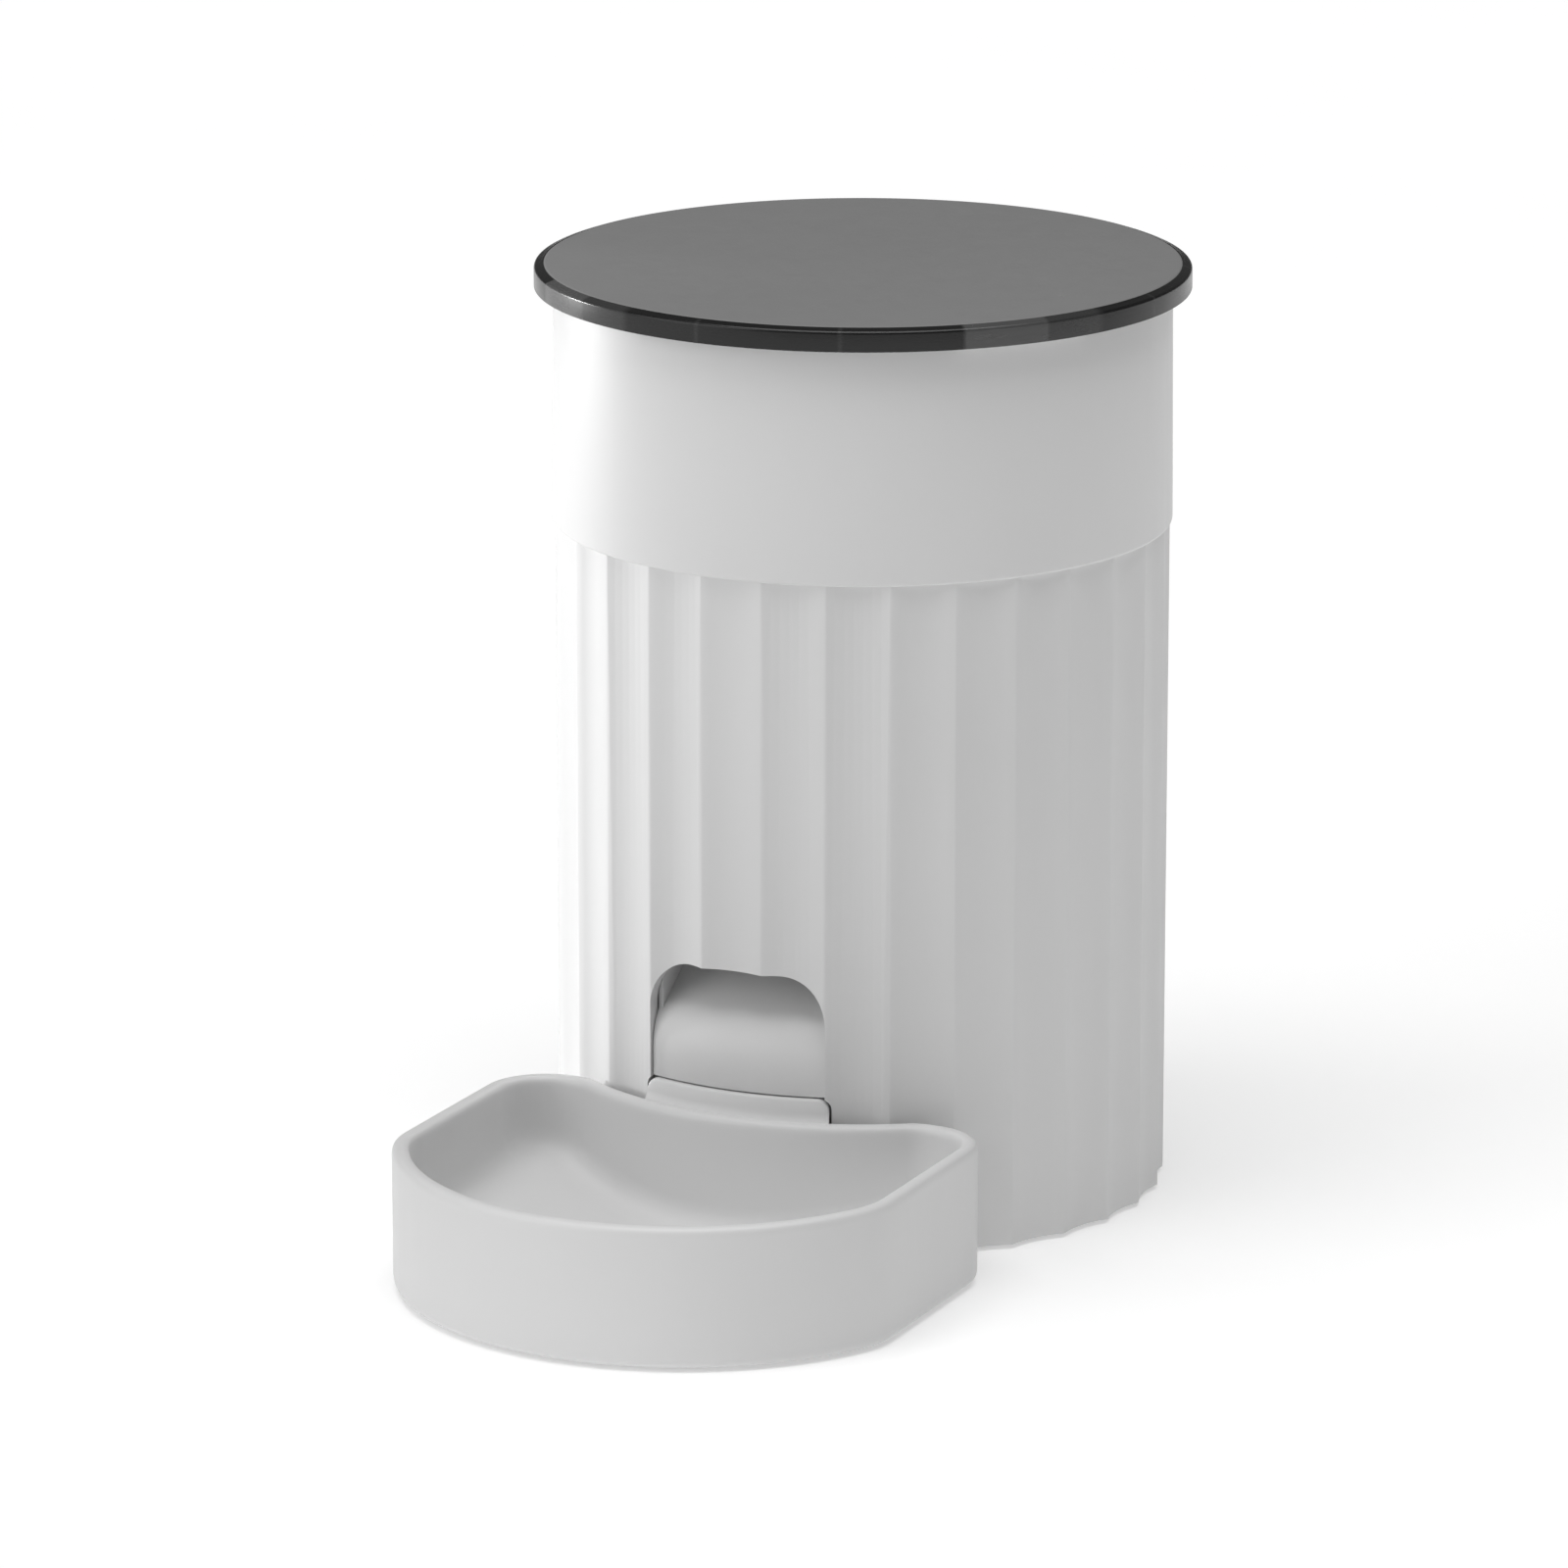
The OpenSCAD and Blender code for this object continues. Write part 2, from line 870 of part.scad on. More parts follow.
module bowl_plan(inset) {
    difference() {
        union() {
            intersection() {
                translate([0, -bowl_centre])
                    circle(r = bowl_front_r - inset);
                polygon([[0, -bowl_centre], [5 * blend_x, -bowl_centre - 5 * blend_fall],
                    [-5 * blend_x, -bowl_centre - 5 * blend_fall]]);
            }
            for (s = [-1, 1])
                translate([s * blend_x, blend_y])
                    intersection() {
                        circle(r = blend_r - inset);
                        polygon([[0, 0], [s * bowl_half, 0], [s * bowl_half, -blend_fall],
                            [s * blend_x, -blend_fall]]);
                    }
            translate([-bowl_half + inset, blend_y])
                square([2 * (bowl_half - inset), -bowl_back - bowl_corner - blend_y]);
            translate([-bowl_half + bowl_corner, -bowl_centre])
                square([2 * (bowl_half - bowl_corner), bowl_centre - bowl_back - inset]);
            for (s = [-1, 1])
                translate([s * (bowl_half - bowl_corner), -bowl_back - bowl_corner])
                    circle(r = bowl_corner - inset);
        }
        circle(r = nest_r + inset);
    }
}

module bowl() {
    color(white)
    difference() {
        union() {
            translate([0, 0, bowl_z])
                linear_extrude(bowl_h - bowl_z)
                    bowl_plan(0);
            intersection() {
                tube(nest_r + 3, panel_r - 2.4, bowl_z, bowl_h);
                box([-tab_half, -drum_r - 9, 0], [tab_half, -60, bowl_h]);
            }
            intersection() {
                tube(drum_r - 1, panel_r - 2.4, bowl_z, tab_top);
                arched_block(tab_half, bowl_z, tab_top, 3.5, -drum_r - 9, -60);
            }
        }
        intersection() {
            translate([0, 0, dish_z - 1])
                linear_extrude(bowl_h)
                    bowl_plan(bowl_rim);
            translate([0, dish_y, dish_z + dish_r])
                sphere(r = dish_r, $fn = 256);
        }
        difference() {
            translate([0, 0, -1])
                linear_extrude(30)
                    bowl_plan(bowl_wall);
            translate([0, dish_y, dish_z + dish_r])
                sphere(r = dish_r + 2.6, $fn = 256);
        }
    }
}

// The plate that closes the bowl below
module bowl_base() {
    color(white)
    translate([0, 0, bowl_z])
        linear_extrude(bowl_base_t)
            bowl_plan(bowl_wall + 0.2);
}

module bowl_pads() {
    color(dark)
    for (s = [-1, 1]) {
        translate([s * 62, -115, 0])
            rod(5, 0, bowl_z);
        translate([s * 44, -184, 0])
            rod(5, 0, bowl_z);
    }
}

// ---------- nodes ----------

fluted_housing();
base_plate();
rubber_feet();
drive_deck();
chute();
outlet_sensors();
gear_case();
spindle_bush();
motor();
motor_cap();
battery_box();
batteries();
battery_contacts();
circuit_board();
board_parts();
power_inlet();
status_light();
deck_screws();
base_screws();
case_screws();
motor_screws();
board_screws();
battery_door();
feed_button();
motor_pinion();
motor_shaft();
drive_gear();
drive_spindle();
drive_coupling();
tank_shell();
hopper_funnel();
rotor_chamber();
port_shield();
rotor();
stirrer();
lid_disc();
lid_rim();
lid_liner();
lid_seal();
desiccant_box();
desiccant_cover();
bowl();
bowl_base();
bowl_pads();
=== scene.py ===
import json
import math

import bmesh
import bpy
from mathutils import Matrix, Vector


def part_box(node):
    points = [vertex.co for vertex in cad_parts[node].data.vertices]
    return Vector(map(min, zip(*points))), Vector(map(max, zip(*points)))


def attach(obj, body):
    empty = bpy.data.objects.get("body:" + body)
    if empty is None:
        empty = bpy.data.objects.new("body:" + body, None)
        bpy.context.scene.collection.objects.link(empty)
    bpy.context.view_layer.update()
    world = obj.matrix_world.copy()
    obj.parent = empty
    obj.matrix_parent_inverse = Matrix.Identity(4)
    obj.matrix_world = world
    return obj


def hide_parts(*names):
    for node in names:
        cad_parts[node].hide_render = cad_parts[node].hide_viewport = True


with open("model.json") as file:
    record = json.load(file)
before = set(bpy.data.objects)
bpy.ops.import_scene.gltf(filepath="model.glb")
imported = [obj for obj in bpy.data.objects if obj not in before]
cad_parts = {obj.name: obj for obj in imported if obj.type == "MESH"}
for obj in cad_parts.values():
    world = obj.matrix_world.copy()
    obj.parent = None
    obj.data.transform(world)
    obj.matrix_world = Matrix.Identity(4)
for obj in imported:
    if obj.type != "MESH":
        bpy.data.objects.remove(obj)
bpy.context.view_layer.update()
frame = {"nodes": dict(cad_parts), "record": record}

MM = 0.001
PLASTIC_IOR = 1.49
# Mesh points closer than these, in metres, are one point
SAME_POINT = 0.000002
SAME_BEVEL_POINT = 0.000003
SAME_CAD_POINT = 0.000005
SLOT_OF = {s["node"]: s["material_slot"] for s in frame["record"]["subparts"]}
BODY_OF = {n: b for b, members in frame["record"]["behaviour"]["bodies"].items() for n in members}


# ---------- materials ----------

def new_material(name):
    mat = bpy.data.materials.new(name)
    mat.use_nodes = True
    tree = mat.node_tree
    tree.nodes.clear()
    out = tree.nodes.new("ShaderNodeOutputMaterial")
    shader = tree.nodes.new("ShaderNodeBsdfPrincipled")
    tree.links.new(shader.outputs["BSDF"], out.inputs["Surface"])
    coord = tree.nodes.new("ShaderNodeTexCoord")
    return mat, tree, shader, coord.outputs["Object"]


def noise(tree, vector, scale, detail=3.0, rough=0.55, stretch=None):
    """Noise with its size given in pattern repeats per metre."""
    if stretch:
        mapping = tree.nodes.new("ShaderNodeMapping")
        mapping.inputs["Scale"].default_value = stretch
        tree.links.new(vector, mapping.inputs["Vector"])
        vector = mapping.outputs["Vector"]
    tex = tree.nodes.new("ShaderNodeTexNoise")
    tex.inputs["Scale"].default_value = scale
    tex.inputs["Detail"].default_value = detail
    tex.inputs["Roughness"].default_value = rough
    tree.links.new(vector, tex.inputs["Vector"])
    return tex.outputs["Fac"]


def ramp(tree, fac, stops):
    """Colour ramp through (position, colour) stops."""
    node = tree.nodes.new("ShaderNodeValToRGB")
    elements = node.color_ramp.elements
    while len(elements) < len(stops):
        elements.new(0.5)
    for element, (position, colour) in zip(elements, stops):
        element.position = position
        element.color = (*colour, 1.0)
    tree.links.new(fac, node.inputs["Fac"])
    return node.outputs["Color"]


def between(tree, fac, low, high, start=0.3, end=0.7):
    """Maps fac from start..end to low..high."""
    node = tree.nodes.new("ShaderNodeMapRange")
    node.inputs["From Min"].default_value = start
    node.inputs["From Max"].default_value = end
    node.inputs["To Min"].default_value = low
    node.inputs["To Max"].default_value = high
    tree.links.new(fac, node.inputs["Value"])
    return node.outputs["Result"]


def bump(tree, shader, height, strength, distance, under=None):
    node = tree.nodes.new("ShaderNodeBump")
    node.inputs["Strength"].default_value = strength
    node.inputs["Distance"].default_value = distance
    tree.links.new(height, node.inputs["Height"])
    if under:
        tree.links.new(under, node.inputs["Normal"])
    tree.links.new(node.outputs["Normal"], shader.inputs["Normal"])
    return node.outputs["Normal"]


def shade(colour, factor):
    return tuple(min(1.0, c * factor) for c in colour)


def plastic(name, colour, rough, grain=2200.0, depth=0.00002):
    """Moulded plastic: fine spark-eroded grain, slow tone drift, faint rubbed streaks."""
    mat, tree, shader, vector = new_material(name)
    scuff = 0.03
    drift = noise(tree, vector, 9.0, 2.0)
    base = ramp(tree, drift, [(0.3, shade(colour, 0.985)), (0.7, shade(colour, 1.015))])
    tree.links.new(base, shader.inputs["Base Color"])
    rubbed = noise(tree, vector, 160.0, 4.0, 0.7, (1.0, 1.0, 0.12))
    tree.links.new(between(tree, rubbed, rough[0], rough[1] + scuff), shader.inputs["Roughness"])
    shader.inputs["IOR"].default_value = PLASTIC_IOR
    slow = bump(tree, shader, noise(tree, vector, 55.0, 2.0), 0.12, 0.0002)
    bump(tree, shader, noise(tree, vector, grain, 2.0), 0.25, depth, slow)
    return mat


def white_plastic():
    mat = plastic("white_plastic", (0.73, 0.73, 0.73), (0.36, 0.46))
    shader = mat.node_tree.nodes["Principled BSDF"]
    shader.inputs["Subsurface Weight"].default_value = 0.06
    shader.inputs["Subsurface Radius"].default_value = (0.004, 0.004, 0.004)
    shader.inputs["Subsurface Scale"].default_value = 1.0
    return mat


def smoked_plastic():
    """Dark smoked rim with flow marks, and painted light where the tank's four lugs stand behind it: a
    paler tone in place of the lugs showing through.
    """
    mat, tree, shader, vector = new_material("smoked_rim")
    turn = tree.nodes.new("ShaderNodeTexGradient")
    turn.gradient_type = "RADIAL"
    tree.links.new(vector, turn.inputs["Vector"])
    quarters = tree.nodes.new("ShaderNodeMath")
    quarters.operation = "MULTIPLY"
    quarters.inputs[1].default_value = 4.0
    tree.links.new(turn.outputs["Fac"], quarters.inputs[0])
    part = tree.nodes.new("ShaderNodeMath")
    part.operation = "FRACT"
    tree.links.new(quarters.outputs["Value"], part.inputs[0])
    # Tones round a quarter turn: two thin ribs, and between them painted light in two steps, a paler tone
    # where a lug shows through the rim
    dark, rib, pale, paler = ((tone,) * 3 for tone in (0.012, 0.04, 0.055, 0.115))
    tint = ramp(tree, part.outputs["Value"], [
        (0.0, dark),
        (0.227, dark), (0.230, rib), (0.234, rib), (0.237, dark),
        (0.465, dark), (0.473, paler), (0.640, paler), (0.648, pale), (0.765, pale), (0.785, dark),
        (0.943, dark), (0.946, rib), (0.950, rib), (0.953, dark),
        (1.0, dark)])
    flow = noise(tree, vector, 34.0, 3.0, 0.6, (1.0, 1.0, 5.0))
    mix = tree.nodes.new("ShaderNodeMix")
    mix.data_type = "RGBA"
    mix.blend_type = "MULTIPLY"
    mix.inputs["Factor"].default_value = 1.0
    tree.links.new(tint, mix.inputs["A"])
    tree.links.new(ramp(tree, flow, [(0.3, (0.85,) * 3), (0.7, (1.0,) * 3)]), mix.inputs["B"])
    tree.links.new(mix.outputs["Result"], shader.inputs["Base Color"])
    tree.links.new(between(tree, flow, 0.20, 0.30), shader.inputs["Roughness"])
    shader.inputs["Transmission Weight"].default_value = 0.3
    shader.inputs["IOR"].default_value = 1.45
    bump(tree, shader, noise(tree, vector, 700.0, 2.0), 0.08, 0.00002)
    return mat


def rubber(name, colour):
    mat, tree, shader, vector = new_material(name)
    dust = noise(tree, vector, 120.0, 5.0, 0.65)
    tint = ramp(tree, dust, [(0.35, colour), (0.75, shade(colour, 1.5))])
    tree.links.new(tint, shader.inputs["Base Color"])
    tree.links.new(between(tree, dust, 0.62, 0.82), shader.inputs["Roughness"])
    shader.inputs["Sheen Weight"].default_value = 0.15
    bump(tree, shader, noise(tree, vector, 1800.0, 3.0), 0.35, 0.00004)
    return mat


def metal(name, colour, rough=(0.22, 0.38), stretch=(1.0, 1.0, 14.0)):
    """Drawn or turned metal: fine lines one way, darker spots where it has dulled."""
    mat, tree, shader, vector = new_material(name)
    lines = noise(tree, vector, 420.0, 4.0, 0.6, stretch)
    dull = noise(tree, vector, 60.0, 3.0)
    tint = ramp(tree, dull, [(0.35, shade(colour, 0.82)), (0.7, colour)])
    tree.links.new(tint, shader.inputs["Base Color"])
    shader.inputs["Metallic"].default_value = 1.0
    tree.links.new(between(tree, lines, rough[0], rough[1]), shader.inputs["Roughness"])
    bump(tree, shader, lines, 0.15, 0.00003)
    return mat


def clear_plastic():
    mat, tree, shader, vector = new_material("light_pipe")
    haze = noise(tree, vector, 300.0, 3.0)
    tree.links.new(ramp(tree, haze, [(0.3, (0.78, 0.86, 0.93)), (0.7, (0.86, 0.93, 0.98))]),
                   shader.inputs["Base Color"])
    tree.links.new(between(tree, haze, 0.2, 0.32), shader.inputs["Roughness"])
    shader.inputs["Transmission Weight"].default_value = 0.6
    shader.inputs["IOR"].default_value = PLASTIC_IOR
    bump(tree, shader, haze, 0.1, 0.00002)
    return mat


def board_laminate():
    """Solder mask over copper traces, which show paler."""
    mat, tree, shader, vector = new_material("board_laminate")
    brick = tree.nodes.new("ShaderNodeTexBrick")
    brick.inputs["Scale"].default_value = 150.0
    brick.inputs["Mortar Size"].default_value = 0.035
    brick.inputs["Color1"].default_value = (0.012, 0.12, 0.05, 1.0)
    brick.inputs["Color2"].default_value = (0.016, 0.15, 0.065, 1.0)
    brick.inputs["Mortar"].default_value = (0.04, 0.27, 0.12, 1.0)
    swap = tree.nodes.new("ShaderNodeMapping")
    swap.inputs["Rotation"].default_value = (math.radians(90), 0.0, 0.0)
    tree.links.new(vector, swap.inputs["Vector"])
    tree.links.new(swap.outputs["Vector"], brick.inputs["Vector"])
    tree.links.new(brick.outputs["Color"], shader.inputs["Base Color"])
    tree.links.new(between(tree, noise(tree, vector, 200.0), 0.22, 0.34), shader.inputs["Roughness"])
    bump(tree, shader, brick.outputs["Fac"], 0.4, 0.00004)
    return mat


def battery_jacket():
    """Printed cell jacket: dark, and a little paler towards one end."""
    mat, tree, shader, vector = new_material("battery_jacket")
    split = tree.nodes.new("ShaderNodeSeparateXYZ")
    tree.links.new(vector, split.inputs["Vector"])
    near, far = -0.041, 0.020
    along = between(tree, split.outputs["Y"], 0.0, 1.0, near, far)
    base = ramp(tree, along, [(0.0, (0.03, 0.045, 0.06)), (1.0, (0.035, 0.05, 0.065))])
    tree.links.new(base, shader.inputs["Base Color"])
    tree.links.new(between(tree, noise(tree, vector, 90.0), 0.25, 0.36), shader.inputs["Roughness"])
    shader.inputs["Metallic"].default_value = 0.35
    shader.inputs["Coat Weight"].default_value = 0.4
    bump(tree, shader, noise(tree, vector, 500.0), 0.08, 0.00003)
    return mat


MATERIALS = {
    "white_plastic": white_plastic(),
    "lid_grey": plastic("lid_grey", (0.235, 0.235, 0.235), (0.5, 0.6), 1600.0, 0.00003),
    "smoked_rim": smoked_plastic(),
    "tank_plastic": plastic("tank_plastic", (0.74, 0.75, 0.76), (0.28, 0.4)),
    "grey_plastic": plastic("grey_plastic", (0.5, 0.5, 0.51), (0.4, 0.52), 1500.0, 0.00004),
    "dark_plastic": plastic("dark_plastic", (0.035, 0.035, 0.038), (0.34, 0.46), 1500.0, 0.00004),
    "gear_plastic": plastic("gear_plastic", (0.76, 0.75, 0.68), (0.24, 0.34)),
    "rotor_rubber": rubber("rotor_rubber", (0.20, 0.33, 0.37)),
    "dark_rubber": rubber("dark_rubber", (0.025, 0.025, 0.025)),
    "bronze": metal("bronze", (0.62, 0.42, 0.2), (0.35, 0.5)),
    "motor_steel": metal("motor_steel", (0.62, 0.62, 0.64)),
    "plated_steel": metal("plated_steel", (0.7, 0.69, 0.66), (0.16, 0.3), (1.0, 1.0, 3.0)),
    "battery_jacket": battery_jacket(),
    "board_laminate": board_laminate(),
    "light_pipe": clear_plastic(),
}


# ---------- mesh helpers, in millimetres ----------

def smooth(mesh, angle=28.0):
    for polygon in mesh.polygons:
        polygon.use_smooth = True
    mesh.set_sharp_from_angle(angle=math.radians(angle))


def piece(name, verts, faces, node, angle=28.0):
    """A mesh object that stands for a CAD node, on its body and in its material."""
    mesh = bpy.data.meshes.new(name)
    mesh.from_pydata([Vector(v) * MM for v in verts], [], faces)
    bm = bmesh.new()
    bm.from_mesh(mesh)
    bmesh.ops.remove_doubles(bm, verts=bm.verts, dist=SAME_POINT)
    bmesh.ops.recalc_face_normals(bm, faces=bm.faces)
    bm.to_mesh(mesh)
    bm.free()
    smooth(mesh, angle)
    obj = bpy.data.objects.new(name, mesh)
    return dress(obj, node)


def dress(obj, node):
    bpy.context.scene.collection.objects.link(obj)
    obj.data.materials.clear()
    obj.data.materials.append(MATERIALS[SLOT_OF[node]])
    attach(obj, BODY_OF[node])
    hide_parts(node)
    return obj


def rounded(points, radii, steps=5):
    """The closed outline with each corner turned into an arc of its own radius."""
    out = []
    count = len(points)
    for i, (point, radius) in enumerate(zip(points, radii)):
        p = Vector(point)
        before, after = Vector(points[i - 1]) - p, Vector(points[(i + 1) % count]) - p
        half = before.angle(after) / 2
        reach = radius / math.tan(half) if radius else 0.0
        if not radius or reach > 0.49 * min(before.length, after.length) + 1e-6:
            out.append(tuple(p))
            continue
        start, end = p + before.normalized() * reach, p + after.normalized() * reach
        centre = p + (before.normalized() + after.normalized()).normalized() * (radius / math.sin(half))
        a, b = start - centre, end - centre
        for k in range(steps + 1):
            t = k / steps
            direction = a.slerp(b, t) if a.length and b.length else a
            out.append(tuple(centre + direction))
    return out


def lathe(name, outline, node):
    """Turns a closed (radius, height) outline about the drum axis."""
    segments = 256
    verts, faces = [], []
    count = len(outline)
    for i in range(segments):
        turn = 2 * math.pi * i / segments
        verts += [(r * math.cos(turn), r * math.sin(turn), z) for r, z in outline]
    for i in range(segments):
        a, b = i * count, ((i + 1) % segments) * count
        for k in range(count):
            m = (k + 1) % count
            if outline[k][0] < 1e-6 and outline[m][0] < 1e-6:
                continue
            faces.append((a + k, b + k, b + m, a + m))
    return piece(name, verts, faces, node)


def softened(node, width):
    """The CAD node's shape with its hard edges rounded over, width in millimetres."""
    angle = 32.0
    mesh = frame["nodes"][node].data.copy()
    mesh.name = node + "_soft"
    bm = bmesh.new()
    bm.from_mesh(mesh)
    bmesh.ops.remove_doubles(bm, verts=bm.verts, dist=SAME_CAD_POINT)
    flat = math.radians(0.05)
    bmesh.ops.dissolve_limit(bm, angle_limit=flat, verts=bm.verts, edges=bm.edges)
    bm.to_mesh(mesh)
    bm.free()
    smooth(mesh, angle)
    obj = bpy.data.objects.new(node + "_soft", mesh)
    edge = obj.modifiers.new("edge", "BEVEL")
    edge.width = width * MM
    edge.segments = 2
    edge.limit_method = "ANGLE"
    edge.angle_limit = math.radians(angle)
    edge.harden_normals = True
    edge.use_clamp_overlap = True
    weld = obj.modifiers.new("weld", "WELD")
    weld.merge_threshold = SAME_BEVEL_POINT
    return dress(obj, node)


# ---------- lid ----------

def make_lid():
    low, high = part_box("lid_disc")
    disc_r, top, bottom = high.x / MM, high.z / MM, low.z / MM
    outline = [(0, bottom), (disc_r, bottom), (disc_r, top), (0, top)]
    lathe("lid_top", rounded(outline, [0, 0.3, 0.5, 0]), "lid_disc")
    low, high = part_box("lid_rim")
    r, top, foot = high.x / MM, high.z / MM, low.z / MM
    ledge_r, bore, skirt = r - 10.8, disc_r + 0.12, r - 2.4
    ledge, ledge_foot = top - 1.9, top - 4.1
    outline = [(ledge_r, ledge_foot), (ledge_r, ledge), (bore, ledge), (bore, top),
               (r, top), (r, foot), (skirt, foot), (skirt, ledge_foot)]
    lathe("smoked_lid_rim", rounded(outline, [0.3, 0.3, 0, 0.35, 1.0, 1.3, 0.5, 0.6]), "lid_rim")


# ---------- tank ----------

def make_tank():
    low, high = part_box("tank_shell")
    r, top, bottom = high.x / MM, high.z / MM, low.z / MM
    gap = 0.1
    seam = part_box("fluted_housing")[1].z / MM + gap
    bore, neck, mouth = r - 9, r - 7, r - 2.8
    outline = [(bore, bottom), (neck, bottom), (neck, seam), (r, seam), (r, top), (mouth, top),
               (mouth, seam + 4.2), (bore, seam - 2)]
    lathe("tank_band", rounded(outline, [0.6, 0.6, 0.6, 0.25, 0.9, 0.7, 1.5, 2.0]), "tank_shell")
    make_lugs(r, top)


def make_lugs(r, top):
    """The four lugs round the tank's mouth, which locate the lid."""
    first, half_turn, steps = -34.5, math.radians(13.5), 12
    inner, outer, low, high = r - 2.2, r + 2.6, top - 1.0, top + 2.0
    profile = rounded([(inner, low), (outer, low), (outer, high), (inner, high)], [0, 0.4, 0.5, 0.5], 3)
    verts, faces = [], []
    for quarter in range(4):
        middle = math.radians(90 * quarter + first)
        turns = [middle + half_turn * k / steps for k in range(-steps, steps + 1)]
        rings = [[(q * math.cos(t), q * math.sin(t), z) for q, z in profile] for t in turns]
        close_loft(rings, verts, faces)
    piece("tank_lugs", verts, faces, "tank_shell")


# ---------- bowl ----------

# The bowl's plan, and the sphere that its dish is cut with: radius, centre's y and centre's height
BOWL = {
    "half": 82.0, "front_r": 88.5, "centre": -126.5, "corner": 20.0, "back": -78.0, "nest": 95.6,
    "blend": 30.0,
}
DISH_R, DISH_Y, DISH_Z = 260.0, -142.5, 266.0


def arc(cx, cy, r, start, end, count):
    return [(cx + r * math.cos(start + (end - start) * k / count),
             cy + r * math.sin(start + (end - start) * k / count)) for k in range(count + 1)]


def bowl_ring(inset):
    """Plan of the bowl, moved inwards by inset, always with the same number of points."""
    b = BOWL
    nest = b["nest"] + inset
    back = b["back"] - inset
    ear = math.asin(back / nest)
    blend_x = b["half"] - b["blend"]
    blend_y = b["centre"] - math.sqrt((b["front_r"] - b["blend"]) ** 2 - blend_x ** 2)
    lean = math.atan2(blend_y - b["centre"], blend_x)
    # The nest's arc ends in an ear, which is eased over a small angle
    tip = 0.035
    side = arc(0, 0, nest, -math.pi / 2, ear - tip, 22)
    ear_x = nest * math.cos(ear)
    eased = ear - tip * 0.45
    side.append((nest * math.cos(eased), nest * math.sin(eased)))
    side += [(ear_x + 1.0, back - 0.35), (ear_x + 2.6, back)]
    corner_x, corner_y = b["half"] - b["corner"], b["back"] - b["corner"]
    side += arc(corner_x, corner_y, b["corner"] - inset, math.pi / 2, 0, 12)
    side += [(b["half"] - inset, corner_y - t * (corner_y - blend_y) / 6) for t in range(1, 6)]
    side += arc(blend_x, blend_y, b["blend"] - inset, 0, lean, 8)
    side += arc(0, b["centre"], b["front_r"] - inset, lean, -math.pi / 2, 30)[1:]
    other = [(-x, y) for x, y in reversed(side)]
    return side + other[1:-1]


def dish(x, y):
    """Height of the bowl's floor."""
    return DISH_Z - math.sqrt(DISH_R ** 2 - x * x - (y - DISH_Y) ** 2)


def flat_ring(inset, z):
    return [(x, y, z) for x, y in bowl_ring(inset)]


def dish_ring(inset, rise, t=0.0):
    """The plan at this inset, drawn in by t towards the dish's middle, at this rise over the dish."""
    ring = [(x - x * t, y + (DISH_Y - y) * t) for x, y in bowl_ring(inset)]
    return [(x, y, dish(x, y) + rise) for x, y in ring]


def loft(rings, verts, faces, centre=None):
    """Joins closed rings of equal length, and closes the last one on a point."""
    base = len(verts)
    count = len(rings[0])
    for ring in rings:
        verts += ring
    for i in range(len(rings) - 1):
        for k in range(count):
            m = (k + 1) % count
            a = base + i * count
            faces.append((a + k, a + m, a + count + m, a + count + k))
    if centre:
        verts.append(centre)
        last = base + (len(rings) - 1) * count
        faces += [(last + k, last + (k + 1) % count, len(verts) - 1) for k in range(count)]


def close_loft(rings, verts, faces):
    """Joins closed rings of equal length, and closes both ends with a flat face."""
    count = len(rings[0])
    first = len(verts)
    last = first + (len(rings) - 1) * count
    loft(rings, verts, faces)
    faces.append(tuple(range(first, first + count)))
    faces.append(tuple(range(last, last + count)))


def make_bowl():
    floor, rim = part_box("bowl")[0].z / MM, 44.0
    # Inset and height, from the foot up the outside and over the rim
    outside = [
        (3.2, floor), (1.7, floor + 0.25), (0.7, floor + 0.9), (0.15, floor + 2.0), (0.0, floor + 3.5),
        (0.0, 20.0), (0.0, rim - 3.0), (0.12, rim - 1.8), (0.5, rim - 0.8), (1.2, rim - 0.2), (2.1, rim),
        (3.4, rim), (4.3, rim - 0.2), (5.0, rim - 0.8), (5.38, rim - 1.8), (5.5, rim - 3.0), (5.6, 36.0)]
    # Inset and rise over the dish, where the inside wall turns into it
    turn = [(5.75, 7.0), (6.3, 4.2), (7.4, 2.2), (9.2, 0.9), (11.5, 0.2)]
    rings = [flat_ring(d, z) for d, z in outside] + [dish_ring(d, rise) for d, rise in turn]
    rings += [dish_ring(11.5, 0.0, t) for t in (0.12, 0.3, 0.5, 0.7, 0.88)]
    verts, faces = [], []
    middle = dish(0.0, DISH_Y)
    loft(rings, verts, faces, (0.0, DISH_Y, middle))
    wall, thick = 8.6, 2.6
    under = [flat_ring(d, z) for d, z in ((3.2, floor), (7.6, floor), (8.3, floor + 0.7))]
    under.append(dish_ring(wall, -2.8))
    under += [dish_ring(wall, -thick, t) for t in (0.1, 0.4, 0.8)]
    loft(under, verts, faces, (0.0, DISH_Y, middle - thick))
    make_tab(verts, faces, floor)
    piece("food_bowl", verts, faces, "bowl", 40.0)


def make_bowl_plate():
    """The plate that closes the bowl below."""
    low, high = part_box("bowl_base")
    bottom, top = low.z / MM, high.z / MM
    inset, edge = 8.5, 0.2
    rings = [flat_ring(inset + edge, bottom), flat_ring(inset, bottom + edge),
             flat_ring(inset, top - edge), flat_ring(inset + edge, top)]
    verts, faces = [], []
    close_loft(rings, verts, faces)
    piece("bowl_plate", verts, faces, "bowl_base", 32.0)


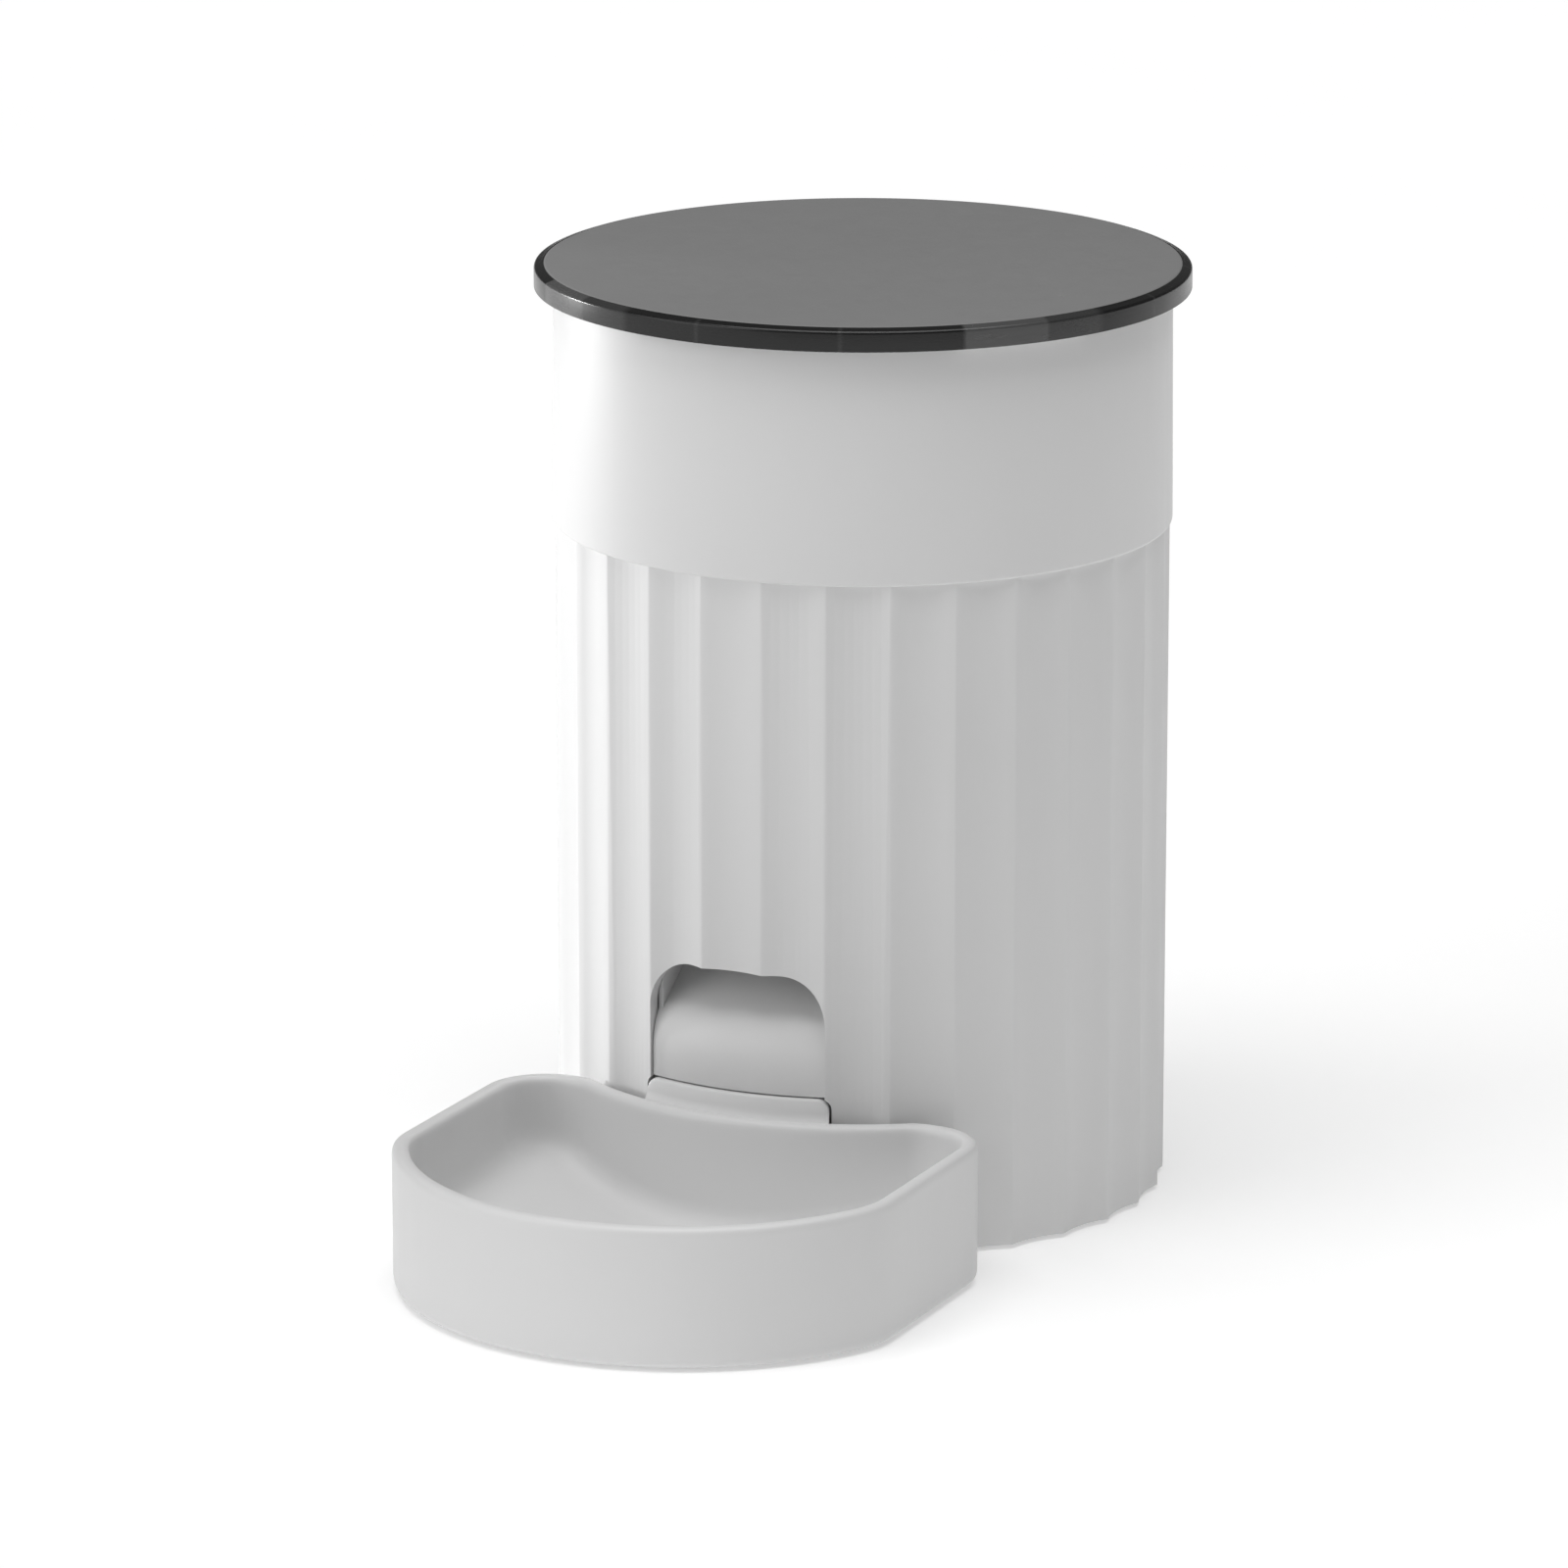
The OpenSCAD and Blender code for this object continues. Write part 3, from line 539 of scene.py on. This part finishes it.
def make_tab(verts, faces, floor):
    """The curved tongue at the back of the bowl, which plugs into the housing."""
    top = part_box("bowl")[1].z / MM
    half, corner, outer, inner = 30.7, 3.5, 95.0, 91.2
    root, root_top, shelf = 97.4, 41.8, 46.2
    steps = 40
    columns = [-half + half * 2 * k / steps for k in range(steps + 1)]
    extra = [half - corner * (1 - math.sin(math.radians(a))) for a in (20, 40, 60, 75, 86)]
    columns = sorted(set([round(c, 4) for c in columns + extra + [-e for e in extra]]))
    rings = []
    for i, x in enumerate(columns):
        over = max(0.0, abs(x) - (half - corner))
        crown = top - (corner - math.sqrt(max(0.0, corner ** 2 - over ** 2)))
        pinch = 0.6 if i in (0, len(columns) - 1) else 0.0
        high, mid, low = max(crown, 46.5), max(crown - 0.35, 46.4), max(crown - 1.2, 46.3)
        profile = [
            (root - pinch, floor), (root - pinch, root_top), (96.2, 43.4), (95.25, 44.6),
            (outer - pinch, shelf), (outer - pinch, low), (outer - 0.35 - pinch, mid), (outer - 1.2, high),
            (inner + 1.0, high), (inner + 0.3 + pinch, mid), (inner + pinch, low), (inner + pinch, floor)]
        turn = math.asin(x / outer)
        rings.append([(r * math.sin(turn), -r * math.cos(turn), z) for r, z in profile])
    close_loft(rings, verts, faces)


# ---------- the rest ----------

# How far each piece's edges are rounded over, in millimetres
EDGES = {
    "fluted_housing": 0.25, "base_plate": 0.4, "chute": 0.4, "drive_deck": 0.4, "battery_box": 0.3,
    "battery_door": 0.4, "circuit_board": 0.1, "board_parts": 0.2, "rotor_chamber": 0.4,
    "port_shield": 0.3, "rotor": 0.4, "stirrer": 0.5, "gear_case": 0.3, "motor": 0.5, "motor_cap": 0.3,
    "feed_button": 0.6, "rubber_feet": 0.4, "bowl_pads": 0.3, "hopper_funnel": 0.4, "lid_liner": 0.12,
    "lid_seal": 0.2, "desiccant_box": 0.3, "desiccant_cover": 0.3, "batteries": 0.6,
    "outlet_sensors": 0.3, "power_inlet": 0.15, "drive_coupling": 0.3, "spindle_bush": 0.2,
    "deck_screws": 0.2, "base_screws": 0.2, "case_screws": 0.15, "motor_screws": 0.15,
    "board_screws": 0.15, "status_light": 0.2, "battery_contacts": 0.1, "drive_spindle": 0.2,
    "motor_shaft": 0.15,
}


def make_rest():
    """The pieces whose shape comes from the CAD: softened ones, and gears with their teeth left crisp."""
    for node, width in EDGES.items():
        softened(node, width)
    for node in ("drive_gear", "motor_pinion"):
        obj = frame["nodes"][node]
        for entry in obj.material_slots:
            entry.material = MATERIALS[SLOT_OF[node]]


# ---------- studio ----------

# Where the feeder is seen from, in degrees right of its front and above the floor
VIEW_AZIMUTH, VIEW_ELEVATION = 24.75, 14.567


def sun(name, azimuth, elevation, angle, strength):
    """A distant light seen from the feeder at this azimuth and elevation."""
    data = bpy.data.lights.new(name, "SUN")
    data.energy = strength
    data.angle = math.radians(angle)
    obj = bpy.data.objects.new(name, data)
    a, e = math.radians(azimuth), math.radians(elevation)
    towards = Vector((math.sin(a) * math.cos(e), -math.cos(a) * math.cos(e), math.sin(e)))
    obj.rotation_euler = towards.to_track_quat("Z", "Y").to_euler()
    bpy.context.scene.collection.objects.link(obj)


def strip_light(azimuth, distance, shift, height):
    """A narrow upright light that grazes the drum's left edge, its beam passing behind the bowl."""
    data = bpy.data.lights.new("strip_light", "AREA")
    data.shape = "RECTANGLE"
    data.size, data.size_y = 0.068, 0.34
    data.spread = math.radians(3.5)
    data.energy = 0.041
    obj = bpy.data.objects.new("strip_light", data)
    a = math.radians(azimuth)
    towards = Vector((math.sin(a), -math.cos(a), 0.0))
    aside = Vector((math.cos(a), math.sin(a), 0.0))
    obj.location = towards * distance + aside * shift + Vector((0.0, 0.0, height))
    obj.rotation_euler = towards.to_track_quat("Z", "Y").to_euler()
    obj.visible_camera = False
    bpy.context.scene.collection.objects.link(obj)


def make_floor():
    """A pale floor a hair below the feet, so that it isn't in one plane with them."""
    half, low = 30.0, -0.0002
    mesh = bpy.data.meshes.new("floor")
    mesh.from_pydata([(-half, -half, low), (half, -half, low), (half, half, low), (-half, half, low)], [],
                     [(0, 1, 2, 3)])
    floor = bpy.data.objects.new("floor", mesh)
    mat, tree, shader, vector = new_material("studio_floor")
    tint = ramp(tree, noise(tree, vector, 3.0), [(0.2, (0.9, 0.9, 0.9)), (0.8, (0.92, 0.92, 0.92))])
    tree.links.new(tint, shader.inputs["Base Color"])
    shader.inputs["Roughness"].default_value = 0.9
    shader.inputs["Specular IOR Level"].default_value = 0.1
    shader.inputs["Emission Color"].default_value = (1.0, 1.0, 1.0, 1.0)
    shader.inputs["Emission Strength"].default_value = 0.25
    mesh.materials.append(mat)
    bpy.context.scene.collection.objects.link(floor)


def make_lights():
    world = bpy.data.worlds.new("studio")
    world.use_nodes = True
    world.node_tree.nodes["Background"].inputs["Color"].default_value = (1.0, 1.0, 1.0, 1.0)
    world.node_tree.nodes["Background"].inputs["Strength"].default_value = 0.1
    bpy.context.scene.world = world
    bpy.context.scene.view_settings.view_transform = "Standard"
    sun("top_light", VIEW_AZIMUTH, 85, 60, 2.0)
    sun("front_fill", VIEW_AZIMUTH - 65, 25, 50, 0.8)
    strip_light(VIEW_AZIMUTH - 115, 0.75, 0.054, 0.165)


def make_camera():
    """A long lens, aimed a little off the drum's middle so that the bowl is in the frame too."""
    azimuth, elevation = math.radians(VIEW_AZIMUTH), math.radians(VIEW_ELEVATION)
    middle, distance = 0.1425, 2.847
    ahead, left, down = 9346.7, 79.4, 56.1
    back = Vector((math.sin(azimuth) * math.cos(elevation), -math.cos(azimuth) * math.cos(elevation),
                   math.sin(elevation)))
    right = Vector((math.cos(azimuth), math.sin(azimuth), 0.0))
    up = right.cross(-back)
    data = bpy.data.cameras.new("camera")
    data.sensor_width = 36.0
    data.lens = 210.3
    data.clip_start, data.clip_end = 0.1, 100.0
    cam = bpy.data.objects.new("camera", data)
    cam.location = Vector((0.0, 0.0, middle)) + back * distance
    aim = -back * ahead - right * left - up * down
    cam.rotation_euler = aim.to_track_quat("-Z", "Y").to_euler()
    bpy.context.scene.collection.objects.link(cam)
    bpy.context.scene.camera = cam


make_camera()
make_lid()
make_tank()
make_bowl()
make_bowl_plate()
make_rest()
make_floor()
make_lights()
